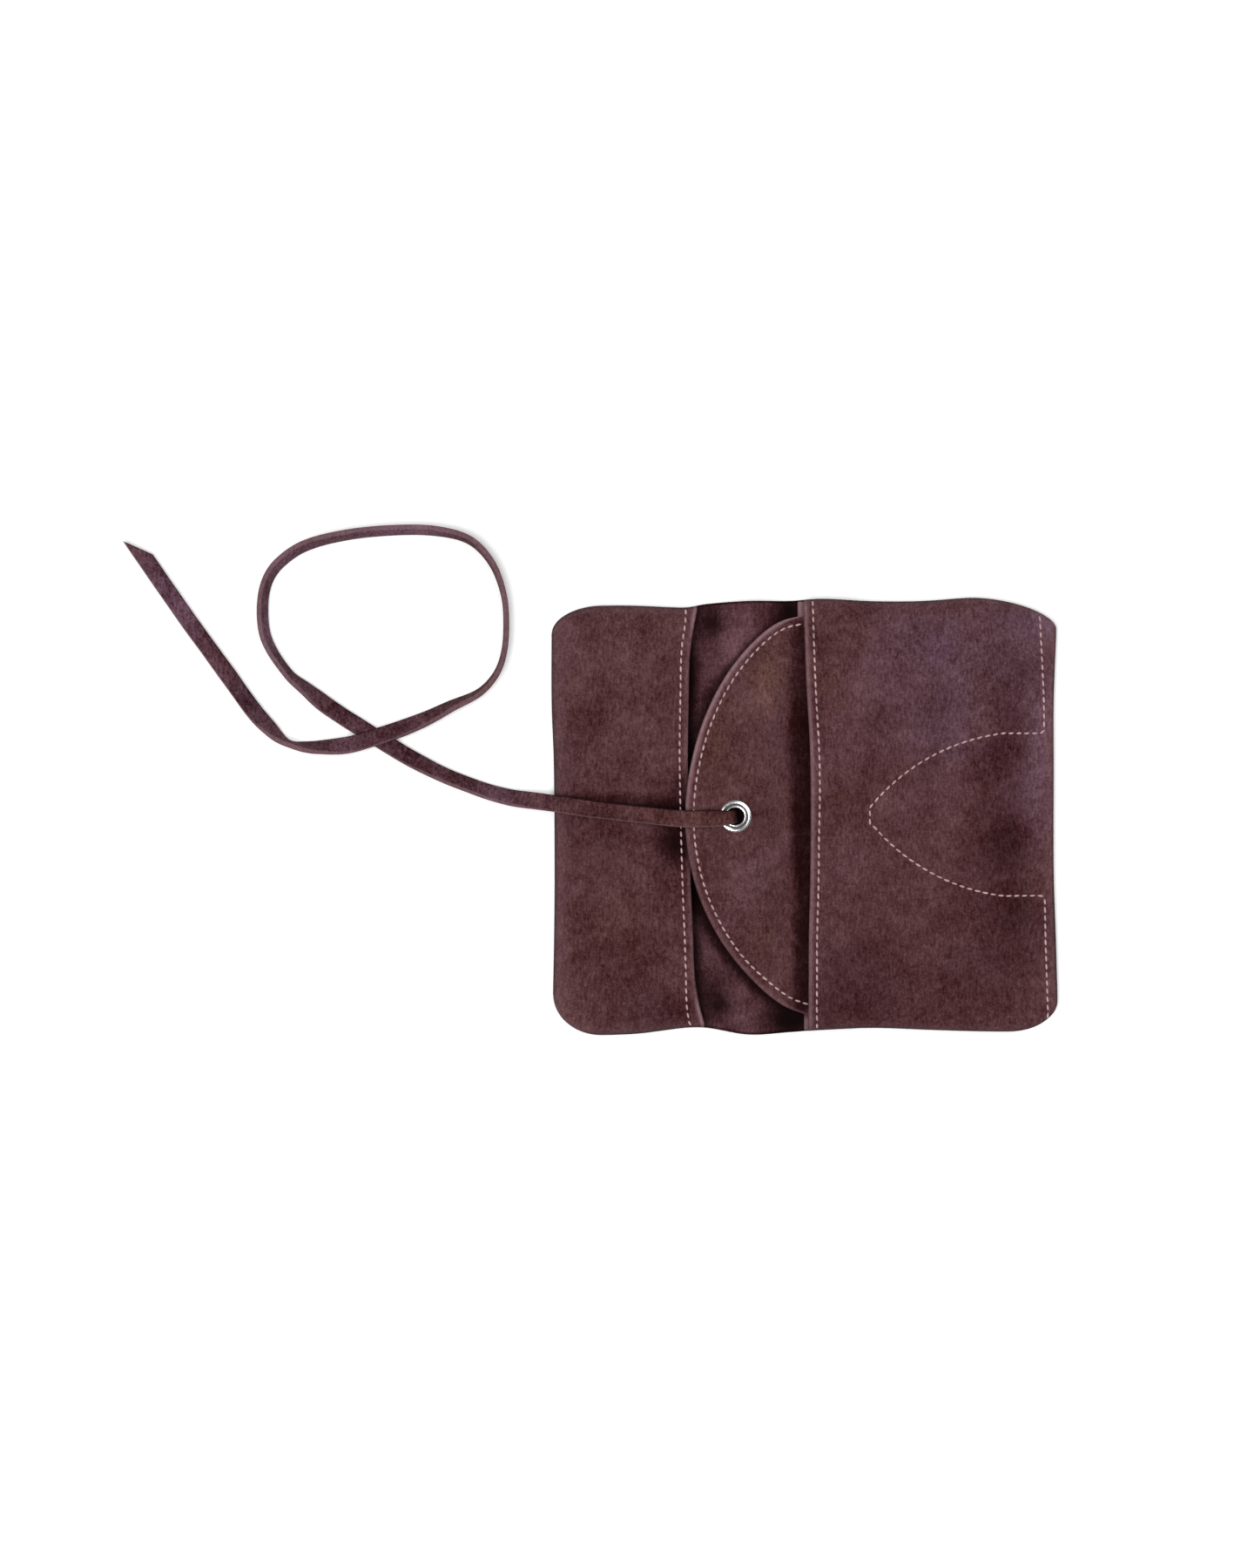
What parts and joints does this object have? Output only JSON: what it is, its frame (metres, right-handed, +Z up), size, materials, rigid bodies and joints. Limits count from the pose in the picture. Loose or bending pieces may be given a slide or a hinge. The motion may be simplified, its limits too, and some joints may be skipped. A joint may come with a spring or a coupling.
{
  "type": "tobacco pouch",
  "caption": "Open suede tobacco pouch with a pocket on each side, a half-moon flap between them and a long flat tie lace drawn through a metal eyelet in the flap.",
  "frame": {"origin": "middle of the pouch's footprint, without its lace, on the surface that it lies on", "axes": "+X along the width of the open pouch, from the narrow pocket to the wide one; +Y towards its upper edge; +Z up from the surface that it lies on"},
  "size_m": [0.3439, 0.1875, 0.0141],
  "materials": {
    "suede": "napped brown suede",
    "lace_suede": "napped brown suede, cut in a strip",
    "eyelet_metal": "polished nickel plate",
    "thread": "pale polyester sewing thread"
  },
  "bodies": {
    "root": {"back_panel": "suede", "left_pocket": "suede", "right_pocket": "suede", "flap": "suede", "eyelet": "eyelet_metal", "lace_knot": "lace_suede", "lace": "lace_suede"}
  },
  "joints": []
}
